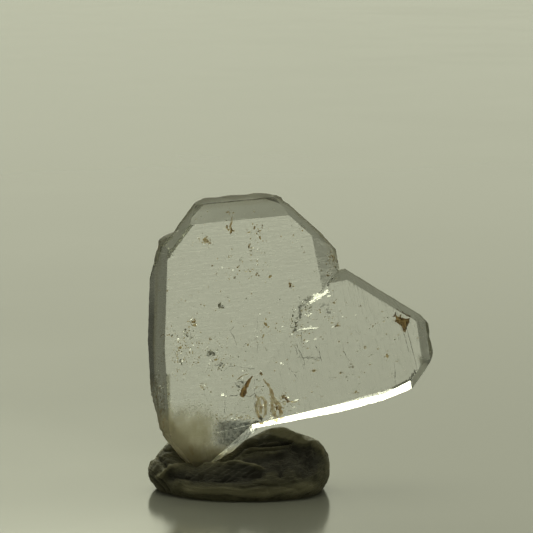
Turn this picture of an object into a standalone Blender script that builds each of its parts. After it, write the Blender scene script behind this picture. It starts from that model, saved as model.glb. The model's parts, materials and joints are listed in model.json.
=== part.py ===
"""Japan law twin of quartz, standing in a kneaded wad of mounting putty.

Two flattened quartz individuals are grown together with their c axes 84.55 degrees apart. They share
one plate, so their front prism faces lie in one plane. Metres, +Z up, the plate's front towards -Y,
origin on the resting surface under the middle of the whole piece.
"""

import math

import bmesh
import bpy
from mathutils import Matrix, Vector

MM = 0.001

# The twin's two c axes, as angles in the plate measured from +X, and the law that ties them.
TWIN_ANGLE = 84.55
C_RIGHT = 10.95
C_LEFT = C_RIGHT + TWIN_ANGLE
COMPOSITION = (C_LEFT + C_RIGHT) / 2

# Quartz face angles, measured from the normal of the plate's front face.
PRISM = 60.0
RHOMB_FRONT = 38.2
RHOMB_SIDE = 66.9
RHOMB_TRACE = 42.2

# The plate.
THICKNESS = 3.4
RIDGE = 1.7
SIDE_EDGE = 3.1
HEART = (-1.35, 12.59)
LEAN_BACK = 8.0
ROOT_Y = -1.0
SEAM_OVERLAP = 0.05

# The putty wad.
WAD_CENTRE = (-4.6, 0.0)
WAD_HALF = (8.3, 4.8)
WAD_SEGMENTS = 56
WAD_RINGS = 14
WAD_WAIST = 1.6
WAD_FULLNESS = 0.6
WAD_FOOT = ((1.1, (0.988, 0.995)), (0.55, (0.958, 0.98)), (0.0, (0.9, 0.95)))
ROOT_GAP = 0.3


def clear_scene():
    for old in list(bpy.data.objects):
        bpy.data.objects.remove(old, do_unlink=True)


def principled(name, colour, roughness, metallic=0.0, transmission=0.0, ior=1.5):
    material = bpy.data.materials.new(name)
    material.use_nodes = True
    shader = material.node_tree.nodes["Principled BSDF"]
    shader.inputs["Base Color"].default_value = (*colour, 1.0)
    shader.inputs["Roughness"].default_value = roughness
    shader.inputs["Metallic"].default_value = metallic
    shader.inputs["Transmission Weight"].default_value = transmission
    shader.inputs["IOR"].default_value = ior
    return material


def new_object(name, bm, material):
    mesh = bpy.data.meshes.new(name)
    bmesh.ops.recalc_face_normals(bm, faces=bm.faces)
    bm.to_mesh(mesh)
    bm.free()
    mesh.materials.append(material)
    obj = bpy.data.objects.new(name, mesh)
    bpy.context.collection.objects.link(obj)
    return obj


def helper(obj):
    """A solid that is only joined to or cut from another one."""
    obj.hide_render = True
    obj.display_type = "WIRE"
    return obj


def cleave(bm, angle, distance, depth, slope, grow):
    """Cuts the block along one crystal face.

    angle is the direction that the face looks in the plate, distance how far from the plate's heart it
    passes at that depth behind the front face, and slope how far its normal turns from the front's.
    """
    turn = math.radians(angle)
    tilt = math.radians(slope)
    normal = Vector(
        (
            math.cos(turn) * math.sin(tilt),
            -math.cos(tilt),
            math.sin(turn) * math.sin(tilt),
        )
    )
    point = Vector(
        (
            HEART[0] + distance * math.cos(turn),
            depth - RIDGE,
            HEART[1] + distance * math.sin(turn),
        )
    )
    point = (point + normal * grow) * MM
    everything = bm.verts[:] + bm.edges[:] + bm.faces[:]
    bmesh.ops.bisect_plane(
        bm,
        geom=everything,
        dist=1e-8,
        plane_co=point,
        plane_no=normal,
        clear_outer=True,
    )
    rim = [edge for edge in bm.edges if edge.is_boundary]
    if rim:
        bmesh.ops.holes_fill(bm, edges=rim, sides=0)


def pair(angle, distance, front=PRISM, back=None, ridge=RIDGE):
    """A front face and the back face that meets it along the plate's rim."""
    back = front if back is None else back
    return [
        (angle, distance, ridge, front),
        (angle, distance, ridge, 180.0 - back),
    ]


def plate_faces(front_step=0.0, back_step=0.0):
    """The big front and back prism faces. A step sets one a little inside the plate's own."""
    return [
        (0.0, 0.0, front_step, 0.0),
        (0.0, 0.0, THICKNESS - back_step, 180.0),
    ]


def left_side_faces(step=0.0):
    """The tall left side: a prism face, then a steeper strip behind it, both slightly bowed."""
    return [
        (178.2, 9.96 - step, 0.0, PRISM),
        (178.2, 11.64 - step, SIDE_EDGE, 65.0),
        (178.2, 11.64 - step, SIDE_EDGE, 125.0),
        (183.0, 9.9 - step, 0.0, 56.0),
        (183.0, 11.54 - step, SIDE_EDGE, 66.0),
        (183.0, 11.54 - step, SIDE_EDGE, 125.0),
    ]


def broken_left_faces(step=0.0):
    """Where the crystal broke from its rock, the left side runs in under it."""
    faces = pair(203.3, 12.42 - step, 66.0)
    faces += pair(219.5, 12.74 - step, 70.0)
    return faces


def left_individual():
    """The individual whose c axis stands almost upright."""
    faces = plate_faces()
    faces += left_side_faces()
    faces += pair(C_LEFT + 90.0 - RHOMB_TRACE, 14.01, 63.0)
    faces += [
        (C_LEFT, 12.39, 0.0, RHOMB_FRONT),
        (C_LEFT, 14.61, 2.4, 66.0),
        (C_LEFT, 14.63, 2.5, 180.0 - RHOMB_FRONT),
    ]
    faces += pair(67.2, 13.27, 56.0)
    faces += pair(48.1, 10.92, RHOMB_SIDE)
    faces += pair(42.0, 10.42, RHOMB_SIDE)
    faces += [
        (11.0, 5.31, 0.0, 41.7),
        (11.0, 7.22, RIDGE, 100.0),
    ]
    faces += broken_left_faces()
    faces.append((COMPOSITION - 90.0, SEAM_OVERLAP, 0.0, 90.0))
    faces.append((265.0, 8.0, 0.0, 90.0))
    return faces


def left_shoulder():
    """A lower parallel growth on the left individual's shoulder."""
    faces = plate_faces(0.02, 0.05)
    faces += left_side_faces(0.04)
    faces += pair(143.2, 14.65, RHOMB_SIDE)
    faces += pair(115.3, 13.93, 52.8)
    faces.append((0.0, -4.95, 0.0, 90.0))
    faces.append((270.0, 4.0, 0.0, 90.0))
    return faces


def right_individual():
    """The individual whose c axis lies almost level."""
    faces = plate_faces(0.03, 0.03)
    faces += [
        (C_RIGHT + 90.0, 5.36, 0.0, PRISM),
        (C_RIGHT + 90.0, 6.34, RIDGE, 120.0),
    ]
    faces += pair(C_RIGHT + 90.0 - RHOMB_TRACE, 9.86, RHOMB_SIDE)
    faces += pair(44.0, 11.94, 64.0)
    faces += [
        (9.5, 12.2, 0.0, 15.0),
        (8.5, 13.07, 0.23, 55.0),
        (8.5, 14.22, 2.4, 86.0),
        (8.5, 14.22, 2.5, 180.0 - RHOMB_FRONT),
    ]
    faces += pair(343.2, 13.76, RHOMB_SIDE)
    faces += pair(324.8, 12.05, RHOMB_SIDE)
    faces += pair(297.1, 8.56, 62.0)
    faces += [
        (283.1, 5.68, 0.0, 58.5),
        (286.8, 6.7, RIDGE, 108.0),
        (281.9, 6.3, RIDGE, 106.0),
        (279.5, 6.13, RIDGE, 104.0),
    ]
    faces.append((COMPOSITION + 90.0, SEAM_OVERLAP, 0.0, 90.0))
    return faces


def root():
    """The broken root that both individuals spring from."""
    faces = plate_faces(0.06, 0.1)
    faces += left_side_faces(0.06)
    faces += broken_left_faces(0.05)
    faces += pair(312.2, 4.05, 66.0)
    faces.append((265.0, 11.3, 0.0, 90.0))
    faces.append((90.0, -2.3, 0.0, 90.0))
    return faces


def cleaved_block(name, faces, material, grow=0.0):
    bm = bmesh.new()
    bmesh.ops.create_cube(bm, size=80.0 * MM)
    for angle, distance, depth, slope in faces:
        cleave(bm, angle, distance, depth, slope, grow)
    bmesh.ops.remove_doubles(bm, verts=bm.verts, dist=1e-6)
    bmesh.ops.dissolve_degenerate(bm, dist=1e-6, edges=bm.edges)
    obj = new_object(name, bm, material)
    obj.matrix_world = plate_matrix()
    return obj


def plate_matrix():
    """Stands the plate up in its wad, leaning back a little."""
    return Matrix.Translation((0.0, ROOT_Y * MM, 0.0)) @ Matrix.Rotation(
        math.radians(-LEAN_BACK), 4, "X"
    )


def boolean(obj, other, operation):
    modifier = obj.modifiers.new(other.name, "BOOLEAN")
    modifier.operation = operation
    modifier.solver = "EXACT"
    modifier.object = helper(other)


def make_twin():
    clear = principled("clear_quartz", (0.93, 0.94, 0.9), 0.03, 0.0, 1.0, 1.544)
    twin = cleaved_block("quartz_twin", left_individual(), clear)
    for name, faces in (
        ("right_individual", right_individual()),
        ("left_shoulder", left_shoulder()),
        ("root", root()),
    ):
        boolean(twin, cleaved_block(name, faces, clear), "UNION")
    return twin


def bump(x, y, at, height, reach):
    """A rounded rise of the putty, falling off with distance."""
    away = ((x - at[0]) / reach[0]) ** 2 + ((y - at[1]) / reach[1]) ** 2
    return height * math.exp(-away)


def wad_outline(turn, inset=(1.0, 1.0)):
    """A level outline of the wad, as a point at that angle. Its left end tapers."""
    squared = 2.5
    c = math.cos(turn)
    s = math.sin(turn)
    x = math.copysign(abs(c) ** (2 / squared), c)
    y = math.copysign(abs(s) ** (2 / squared), s)
    y *= 1.0 + 0.42 * min(0.0, x) * abs(x)
    return (
        WAD_CENTRE[0] + x * WAD_HALF[0] * inset[0],
        WAD_CENTRE[1] + y * WAD_HALF[1] * inset[1],
    )


def wad_top(x, y):
    """How high the putty would stand, if its sides weren't rounded."""
    height = 2.9
    height += bump(x, y, (-0.5, 0.7), 3.05, (4.3, 3.6))
    height += bump(x, y, (3.0, 0.4), 0.9, (1.8, 2.6))
    height += bump(x, y, (-11.0, 1.6), 2.45, (1.7, 2.0))
    height += bump(x, y, (-7.0, 3.0), 1.4, (3.4, 1.8))
    return height


def wad_rings():
    """Level rings of points, from the crown down to the flat base."""
    rings = []
    for ring in range(1, WAD_RINGS + 1):
        part = ring / WAD_RINGS
        reach = math.sin(part * math.pi / 2)
        rise = math.cos(part * math.pi / 2) ** WAD_FULLNESS
        row = []
        for step in range(WAD_SEGMENTS):
            x, y = wad_outline(2 * math.pi * step / WAD_SEGMENTS, (reach, reach))
            row.append((x, y, WAD_WAIST + (wad_top(x, y) - WAD_WAIST) * rise))
        rings.append(row)
    for height, inset in WAD_FOOT:
        row = []
        for step in range(WAD_SEGMENTS):
            x, y = wad_outline(2 * math.pi * step / WAD_SEGMENTS, inset)
            row.append((x, y, height))
        rings.append(row)
    return rings


def make_wad():
    putty = principled("grey_putty", (0.045, 0.043, 0.032), 0.6)
    bm = bmesh.new()
    rings = [[bm.verts.new(Vector(at) * MM) for at in row] for row in wad_rings()]
    for inner, outer in zip(rings, rings[1:]):
        for step in range(WAD_SEGMENTS):
            after = (step + 1) % WAD_SEGMENTS
            bm.faces.new((inner[step], inner[after], outer[after], outer[step]))
    crown = WAD_CENTRE[0], WAD_CENTRE[1], wad_top(*WAD_CENTRE)
    crown = bm.verts.new(Vector(crown) * MM)
    for step in range(WAD_SEGMENTS):
        bm.faces.new((crown, rings[0][(step + 1) % WAD_SEGMENTS], rings[0][step]))
    bm.faces.new(list(reversed(rings[-1])))
    wad = new_object("putty_wad", bm, putty)
    for name, faces in (
        ("socket_left", left_individual()),
        ("socket_right", right_individual()),
        ("socket_root", root()),
    ):
        boolean(wad, cleaved_block(name, faces, putty, ROOT_GAP), "DIFFERENCE")
    return wad


clear_scene()
make_twin()
make_wad()
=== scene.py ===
import json
import math
import random

import bmesh
import bpy
import numpy as np
from mathutils import Matrix, Vector, noise
from mathutils.bvhtree import BVHTree

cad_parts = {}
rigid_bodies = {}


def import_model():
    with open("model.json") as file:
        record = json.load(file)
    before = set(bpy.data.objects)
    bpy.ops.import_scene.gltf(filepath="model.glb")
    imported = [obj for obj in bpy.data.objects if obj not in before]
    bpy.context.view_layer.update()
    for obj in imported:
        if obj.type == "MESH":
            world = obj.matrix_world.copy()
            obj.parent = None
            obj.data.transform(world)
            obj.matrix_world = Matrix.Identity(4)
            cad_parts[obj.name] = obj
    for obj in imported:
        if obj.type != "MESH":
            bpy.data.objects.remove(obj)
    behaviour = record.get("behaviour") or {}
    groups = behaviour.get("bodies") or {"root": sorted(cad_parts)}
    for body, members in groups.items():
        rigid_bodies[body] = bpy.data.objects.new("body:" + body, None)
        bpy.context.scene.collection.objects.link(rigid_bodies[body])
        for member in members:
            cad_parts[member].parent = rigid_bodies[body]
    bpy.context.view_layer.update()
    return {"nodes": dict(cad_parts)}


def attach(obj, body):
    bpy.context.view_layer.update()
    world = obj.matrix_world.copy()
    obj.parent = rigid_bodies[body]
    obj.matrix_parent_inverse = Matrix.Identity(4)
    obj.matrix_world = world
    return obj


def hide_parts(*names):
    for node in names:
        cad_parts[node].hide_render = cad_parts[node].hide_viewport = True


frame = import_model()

mm = 0.001

# how the twin's plate stands, in millimetres and degrees, and its two c axes as angles in the plate
plate = {
    "root": -1.0,
    "lean": 8.0,
    "ridge": 1.7,
    "heart": (-1.35, 12.59),
    "leftAxis": 95.5,
    "rightAxis": 10.95,
}
seam = (plate["leftAxis"] + plate["rightAxis"]) / 2
toWorld = (
    Matrix.Translation((0.0, plate["root"] * mm, 0.0))
    @ Matrix.Rotation(math.radians(-plate["lean"]), 4, "X")
    @ Matrix.Diagonal((mm, mm, mm, 1.0))
)
toPlate = toWorld.inverted()


def limit(value, low=0.0, high=1.0):
    return min(high, max(low, value))


def sideways(way):
    # a direction in the plate, turned square
    return Vector((-way.z, 0.0, way.x))


def along(angle):
    turn = math.radians(angle)
    return Vector((math.cos(turn), 0.0, math.sin(turn)))


def inPlate(u, v, depth):
    # a point of the plate in millimetres, depth being behind its front face
    return Vector((u, depth - plate["ridge"], v))


heart = inPlate(*plate["heart"], plate["ridge"])
seamNormal = along(seam + 90.0)


def fromSeam(point):
    # how far a point lies from the twin seam, positive on the left individual's side
    return (point - heart).dot(seamNormal)


class Wire:
    # a node's output that takes part in plain arithmetic
    def __init__(self, board, socket):
        self.board = board
        self.socket = socket

    def work(self, operation, *values):
        return self.board.node("Math", {"operation": operation}, dict(enumerate(values)))

    def __add__(self, other):
        return self.work("ADD", self, other)

    def __sub__(self, other):
        return self.work("SUBTRACT", self, other)

    def __rsub__(self, other):
        return self.work("SUBTRACT", other, self)

    def __mul__(self, other):
        return self.work("MULTIPLY", self, other)

    __radd__ = __add__
    __rmul__ = __mul__

    def absolute(self):
        return self.work("ABSOLUTE", self)

    def least(self, other):
        return self.work("MINIMUM", self, other)

    def most(self, other):
        return self.work("MAXIMUM", self, other)

    def smooth(self, low, high, start=0.0, end=1.0):
        # from start to end as the value goes from low to high, which may run downwards
        span = {"Value": self, "From Min": low, "From Max": high, "To Min": start, "To Max": end}
        return self.board.node("MapRange", {"interpolation_type": "SMOOTHSTEP"}, span)


class Board:
    # a shader or geometry tree being wired up
    def __init__(self, tree):
        self.tree = tree
        tree.nodes.clear()

    def node(self, kind, settings=None, sockets=None, output=0):
        made = self.tree.nodes.new(kind if "Node" in kind else "ShaderNode" + kind)
        for name, value in (settings or {}).items():
            if name == "stops":
                self.fill(made.color_ramp, value)
            else:
                setattr(made, name, value)
        for name, value in (sockets or {}).items():
            if isinstance(value, Wire):
                self.tree.links.new(value.socket, made.inputs[name])
            else:
                made.inputs[name].default_value = value
        return Wire(self, made.outputs[output])

    def fill(self, ramp, stops):
        while len(ramp.elements) < len(stops):
            ramp.elements.new(0.5)
        for element, (place, colour) in zip(ramp.elements, stops):
            element.position = place
            element.color = (*colour, 1.0)

    def place(self):
        # object coordinates in the plate's own millimetres
        here = self.node("TexCoord", output=3)
        turn = (math.radians(-plate["lean"]), 0.0, 0.0)
        shift = {"Vector": here, "Location": (0.0, plate["root"] * mm, 0.0)}
        shift |= {"Rotation": turn, "Scale": (mm, mm, mm)}
        return self.node("Mapping", {"vector_type": "TEXTURE"}, shift)

    def upright(self):
        # object coordinates in upright millimetres
        here = self.node("TexCoord", output=3)
        return self.node("VectorMath", {"operation": "SCALE"}, {0: here, "Scale": 1000.0})

    def dot(self, vector, direction):
        return self.node("VectorMath", {"operation": "DOT_PRODUCT"}, {0: vector, 1: direction}, 1)

    def join(self, x, y, z):
        return self.node("CombineXYZ", None, {0: x, 1: y, 2: z})

    def parts(self, vector):
        made = self.node("SeparateXYZ", None, {0: vector}).socket.node
        return [Wire(self, output) for output in made.outputs]

    def grit(self, vector, scale, detail=3.0, rough=0.5, warp=0.0):
        values = {"Vector": vector, "Scale": scale, "Detail": detail}
        values |= {"Roughness": rough, "Distortion": warp}
        return self.node("TexNoise", None, values)

    def mix(self, factor, first, second):
        settings = {"data_type": "RGBA", "clamp_factor": True}
        return self.node("Mix", settings, {0: factor, 6: first, 7: second}, 2)

    def bump(self, height, distance, strength):
        return self.node("Bump", None, {"Height": height, "Distance": distance, "Strength": strength})

    def finish(self, surface, volume=None):
        # a Principled surface with those sockets, and what fills it
        out = self.tree.nodes.new("ShaderNodeOutputMaterial")
        made = self.node("BsdfPrincipled", None, surface)
        self.tree.links.new(made.socket, out.inputs["Surface"])
        if volume:
            self.tree.links.new(volume.socket, out.inputs["Volume"])


def newMaterial(name):
    material = bpy.data.materials.new(name)
    material.use_nodes = True
    return material, Board(material.node_tree)


def newObject(name, bm, material, matrix=None):
    mesh = bpy.data.meshes.new(name)
    if matrix:
        bm.transform(matrix)
    bm.to_mesh(mesh)
    bm.free()
    mesh.materials.append(material)
    obj = bpy.data.objects.new(name, mesh)
    bpy.context.scene.collection.objects.link(obj)
    return obj


def takeNode(name):
    # a merged copy of a CAD node's mesh, with its flat faces whole again
    bm = bmesh.new()
    bm.from_mesh(frame["nodes"][name].data)
    bmesh.ops.remove_doubles(bm, verts=bm.verts, dist=1e-6)
    bmesh.ops.dissolve_limit(bm, angle_limit=0.001, verts=bm.verts, edges=bm.edges)
    return bm


def crystalWall():
    bm = takeNode("quartz_twin")
    bm.transform(toPlate)
    bmesh.ops.triangulate(bm, faces=bm.faces)
    tree = BVHTree.FromBMesh(bm)
    bm.free()
    return tree


wall = crystalWall()


def inset(point):
    # how far a point of the plate lies inside the crystal
    near, normal, _, away = wall.find_nearest(point)
    return away if (point - near).dot(normal) < 0 else -away


def sealed(point, margin):
    # the point, pushed in where it lies closer than that to a face
    for _ in range(3):
        if inset(point) >= margin:
            break
        near, normal, _, _ = wall.find_nearest(point)
        point = near - normal * margin * 1.01
    return point


shot = {
    "distance": 230 * mm,
    "elevation": 10.0,
    "target": (-2.115 * mm, 0.0, 20.6 * mm),
    "span": 48 * mm,
    "film": 36.0,
}


def makeCamera():
    data = bpy.data.cameras.new("camera")
    data.sensor_width = shot["film"]
    data.lens = shot["film"] * shot["distance"] / shot["span"]
    data.clip_start = 0.01
    data.clip_end = 5.0
    camera = bpy.data.objects.new("camera", data)
    bpy.context.scene.collection.objects.link(camera)
    rise = math.radians(shot["elevation"])
    back = Vector((0.0, -math.cos(rise), math.sin(rise)))
    camera.location = Vector(shot["target"]) + back * shot["distance"]
    camera.rotation_mode = "QUATERNION"
    camera.rotation_quaternion = (-back).to_track_quat("-Z", "Y")
    bpy.context.scene.camera = camera


room = {
    "tint": (0.975, 1.0, 0.765),
    "shade": 0.10,
    # how bright the lights are: at the sides, in front, and behind from the horizon up
    "side": 0.55,
    "front": 0.27,
    "near": 0.575,
    "far": 0.75,
    "lift": 0.16,
    # overhead, and a small strong one high on the left behind
    "middle": 0.38,
    "overhead": 1.9,
    "glow": 3.2,
    "glowTurn": -0.29,
    # where each fades, as angles in radians from its middle, and as heights on a sphere
    "wings": (0.12, 0.42),
    "frontWings": (1.75, 2.3),
    "glowWings": (0.22, 0.34),
    "topWings": (0.6, 1.2),
    "crown": (0.80, 0.90),
}


def makeRoom():
    # a broad pale light behind, dimmer ones at the sides and overhead, and a dark room between
    world = bpy.data.worlds.new("studio")
    bpy.context.scene.world = world
    world.use_nodes = True
    board = Board(world.node_tree)
    way = board.node("TexCoord", output=0)
    way = board.node("VectorMath", {"operation": "NORMALIZE"}, {0: way})
    x, y, z = board.parts(way)
    turn = board.node("Math", {"operation": "ARCTAN2"}, {0: x, 1: y})
    wide = turn.absolute()
    rear = wide.smooth(*room["wings"], 1.0, 0.0)
    side = (wide - math.pi / 2).absolute().smooth(*room["wings"], room["side"], 0.0)
    front = wide.smooth(*room["frontWings"], 0.0, room["front"]) * z.smooth(0.21, 0.26, 1.0, 0.25)
    climb = z.smooth(0.04, 0.18, room["near"], room["far"]) + z.smooth(0.22, 0.28) * room["lift"]
    low = room["shade"] + (rear + side + front) * climb
    high = z.smooth(0.30, 0.42)
    crown = z.smooth(*room["crown"])
    top = wide.smooth(*room["topWings"], room["middle"], 0.06) * (1.0 - crown)
    top = top + crown * y.smooth(-0.32, 0.08) * room["overhead"]
    glow = (turn - room["glowTurn"]).absolute().smooth(*room["glowWings"], 1.0, 0.0)
    glow = glow * z.smooth(0.26, 0.34) * z.smooth(0.54, 0.62, 1.0, 0.0)
    strength = low * (1.0 - high) + high * top + glow * room["glow"]
    background = board.node("Background", None, {"Color": (*room["tint"], 1.0), "Strength": strength})
    out = world.node_tree.nodes.new("ShaderNodeOutputWorld")
    world.node_tree.links.new(background.socket, out.inputs["Surface"])


floor = {"radius": 1.3, "colour": (0.29, 0.292, 0.257), "mottle": (0.96, 1.04), "gloss": (0.11, 0.15)}


def makeFloor():
    bm = bmesh.new()
    bmesh.ops.create_circle(bm, cap_ends=True, radius=floor["radius"], segments=96)
    material, board = newMaterial("paleFloor")
    cloud = board.grit(board.upright(), 0.02, 3.0)
    shades = [(*(part * change for part in floor["colour"]), 1) for change in floor["mottle"]]
    gloss = cloud.smooth(0.3, 0.7, *floor["gloss"])
    board.finish({"Base Color": board.mix(cloud, *shades), "Roughness": gloss, "IOR": 1.5})
    newObject("floor", bm, material)


crystal = {
    "seed": 5,
    # the least and most step between growth lines, along and across each axis, as far as reach
    "stria": (0.10, 0.30),
    "cross": (0.42, 0.78),
    "reach": 20.0,
    # heights of the growth lines on the flat and side faces, and of the ripple on the edges
    "relief": 0.005,
    "sideRelief": 0.004,
    "rim": 0.03,
    "inner": 0.014,
    # the longest edge left where the root is rough
    "rootEdge": 0.22,
    # the lowest right end, right of u and below v, is plain
    "plainEnd": (9.0, 12.0),
    "ior": 1.544,
    "fog": ((0.80, 0.81, 0.76), 110.0),
    "frost": 0.5,
    "milk": ((0.66, 0.62, 0.47), (0.86, 0.83, 0.69)),
    # what tints the clear faces: how much, and its colour; the dark greys over the scuffed patch, along the
    # left edge and on the lowest right end are painted shade, the others are the crystal's own stains and
    # milkiness
    "tints": {
        "heel": (0.8, (0.52, 0.47, 0.33)),
        "pit": (1.0, (0.11, 0.12, 0.12)),
        "film": (1.0, (0.11, 0.11, 0.11)),
        "blunt": (2.5, (0.2, 0.2, 0.165)),
        "shelf": (0.8, (0.40, 0.40, 0.31)),
        "grime": (0.85, (0.46, 0.41, 0.22)),
        "crust": (0.8, (0.34, 0.22, 0.08)),
    },
    # small faces behind the rim: the way each looks, how far out it meets the rim, and its slope
    "bevels": ((143.2, 14.5, 133.0),),
    # u, v, reach and depth of small bites out of the outline
    "bites": (
        (-4.2, 26.9, 0.6, 0.16), (-6.6, 26.8, 0.5, 0.05), (-5.49, 26.9, 0.4, -0.05),
        (-2.3, 27.1, 0.9, -0.06), (-0.4, 26.5, 0.5, 0.10), (-10.29, 23.75, 0.5, 0.10),
        (-11.2, 23.6, 0.5, -0.08), (-12.15, 22.3, 0.45, 0.12), (-12.5, 20.9, 0.4, 0.05),
        (-12.54, 17.5, 0.35, 0.05), (12.69, 14.15, 0.4, 0.10), (12.9, 12.9, 0.5, -0.06),
        (12.6, 11.6, 0.35, 0.06), (-11.7, 5.5, 0.5, 0.07),
    ),
}


def cutFaces(bm, faces, point, direction):
    # draws one line across the faces that the plane meets
    crossed = []
    for face in faces:
        sides = [(vert.co - point).dot(direction) for vert in face.verts]
        if min(sides) < -1e-4 and max(sides) > 1e-4:
            crossed.append(face)
    geometry = set(crossed)
    for face in crossed:
        geometry.update(face.edges)
        geometry.update(face.verts)
    bmesh.ops.bisect_plane(bm, geom=list(geometry), dist=1e-4, plane_co=point, plane_no=direction)


def refine(bm, inside, size):
    # splits the edges that are longer than size where inside() holds
    for _ in range(6):
        long = []
        for edge in bm.edges:
            middle = (edge.verts[0].co + edge.verts[1].co) / 2
            if edge.calc_length() > size and inside(middle):
                long.append(edge)
        if not long:
            return
        bmesh.ops.subdivide_edges(bm, edges=long, cuts=1)
        bmesh.ops.triangulate(bm, faces=[face for face in bm.faces if len(face.verts) > 3])


def stria(place, band, seed):
    # the height of a fine growth line, which fades in and out along its length
    line = noise.noise(Vector((place * 4.7, seed, 0.0)))
    line += 0.6 * noise.noise(Vector((place * 11.0, seed, 3.0)))
    fade = 0.5 + 0.8 * noise.noise(Vector((band * 0.45, place * 0.3, seed + 7.0)))
    return line * fade


def worn(point):
    # how far a point has rough faces in place of flat ones: low down, and up the left edge
    u, v = point.x, point.z
    low = 0.3 * limit((5.3 - v) / 1.2) * limit((-5.5 - u) / 1.0, 0.3)
    edge = limit((8.6 - v) / 1.5) * limit((-10.2 - u) / 0.4)
    return max(low, edge)


def bevel(bm, angle, distance, slope):
    # one more small face behind the rim, its normal turned that far from the front's
    tilt = math.radians(slope)
    bmesh.ops.bisect_plane(
        bm,
        geom=bm.verts[:] + bm.edges[:] + bm.faces[:],
        dist=1e-5,
        plane_co=heart + along(angle) * distance,
        plane_no=along(angle) * math.sin(tilt) - Vector((0.0, math.cos(tilt), 0.0)),
        clear_outer=True,
    )
    bmesh.ops.holes_fill(bm, edges=[edge for edge in bm.edges if edge.is_boundary], sides=0)


def makeCrystal():
    bm = takeNode("quartz_twin")
    bm.transform(toPlate)
    for facet in crystal["bevels"]:
        bevel(bm, *facet)
    chance = random.Random(crystal["seed"])
    cutFaces(bm, bm.faces[:], heart, seamNormal)
    for name, side in (("left", 1.0), ("right", -1.0)):
        axis = along(plate[name + "Axis"])
        for direction, steps in ((axis, crystal["stria"]), (sideways(axis), crystal["cross"])):
            place = -crystal["reach"]
            while place < crystal["reach"]:
                place += chance.uniform(*steps)
                faces = [face for face in bm.faces if fromSeam(face.calc_center_median()) * side > 0]
                cutFaces(bm, faces, heart + direction * place, direction)
    bmesh.ops.triangulate(bm, faces=bm.faces)
    refine(bm, lambda at: worn(at) > 0.05, crystal["rootEdge"])
    print("crystal cut into", len(bm.faces), "faces")
    shapeCrystal(bm)
    bmesh.ops.recalc_face_normals(bm, faces=bm.faces)
    twin = newObject("crystalTwin", bm, quartz(), toWorld)
    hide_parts("quartz_twin")
    print("crystal made")


def atPlainEnd(at):
    return at.x > crystal["plainEnd"][0] and at.z < crystal["plainEnd"][1]


def facetMove(at, mean):
    # growth lines on a flat face
    side = fromSeam(at)
    axis = along(plate["leftAxis" if side > 0 else "rightAxis"])
    place = (at - heart).dot(axis)
    band = (at - heart).dot(sideways(axis))
    flat = abs(mean.y) > 0.99
    relief = crystal["relief"] if flat else crystal["sideRelief"]
    fade = 0.0 if atPlainEnd(at) and not flat else min(1.0, abs(side) / 0.5)
    return mean * relief * fade * stria(place, band, 3.0 if mean.y < 0 else 9.0)


def edgeMove(at, mean, rim):
    # the ripple of an edge, strongest on the rim
    outward = Vector((mean.x, 0.0, mean.z))
    if outward.length > 0.05:
        outward.normalize()
    amount = crystal["rim"] if rim else crystal["inner"]
    if atPlainEnd(at) or (at.z < 7.0 and not rim):
        amount = 0.0
    return outward * amount * (noise.noise(at * 2.3) + 0.7 * noise.noise(at * 6.1))


def shapeCrystal(bm):
    bm.normal_update()
    moves = []
    for vert in bm.verts:
        at = vert.co
        normals = [face.normal.copy() for face in vert.link_faces]
        mean = sum(normals, Vector()).normalized()
        if min(mean.dot(normal) for normal in normals) > 0.9999:
            move = facetMove(at, mean)
        else:
            leans = [normal.y for normal in normals]
            move = edgeMove(at, mean, min(leans) < -0.2 and max(leans) > 0.2)
        for u, v, reach, depth in crystal["bites"]:
            away = math.hypot(at.x - u, at.z - v) / reach
            if away < 1.0:
                move -= Vector((mean.x, 0.0, mean.z)) * depth * (1.0 - away * away) ** 2
        rough = worn(at)
        if rough > 0.0:
            shell = noise.noise(at * 0.9 + Vector((3.0, 1.0, 2.0))) * 0.10 + noise.noise(at * 3.1) * 0.05
            move += mean * rough * (shell - 0.03)
        moves.append(move)
    for vert, move in zip(bm.verts, moves):
        vert.co += move


def growthLines(board, here):
    # fine lines across each individual's axis, over low hills
    off = board.node("VectorMath", {"operation": "SUBTRACT"}, {0: here, 1: heart})
    deep = board.parts(off)[1]
    heights = []
    for name, strength in (("left", 1.9), ("right", 4.0)):
        axis = along(plate[name + "Axis"])
        place = board.dot(off, axis)
        band = board.dot(off, sideways(axis))
        fine = board.grit(board.join(place * 5.5, band * 0.35, deep * 0.6), 1.0, 2.0, 0.6)
        sharp = board.grit(board.join(place * 9.0, band * 0.6, deep), 1.0, 1.0).smooth(0.60, 0.66)
        heights.append((fine + sharp * 0.2) * strength)
    side = board.dot(off, seamNormal).smooth(-0.12, 0.12)
    hills = board.grit(here, 1.4, 3.0, 0.55, 0.6)
    return heights[0] * side + heights[1] * (1.0 - side) + hills * 1.2


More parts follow.
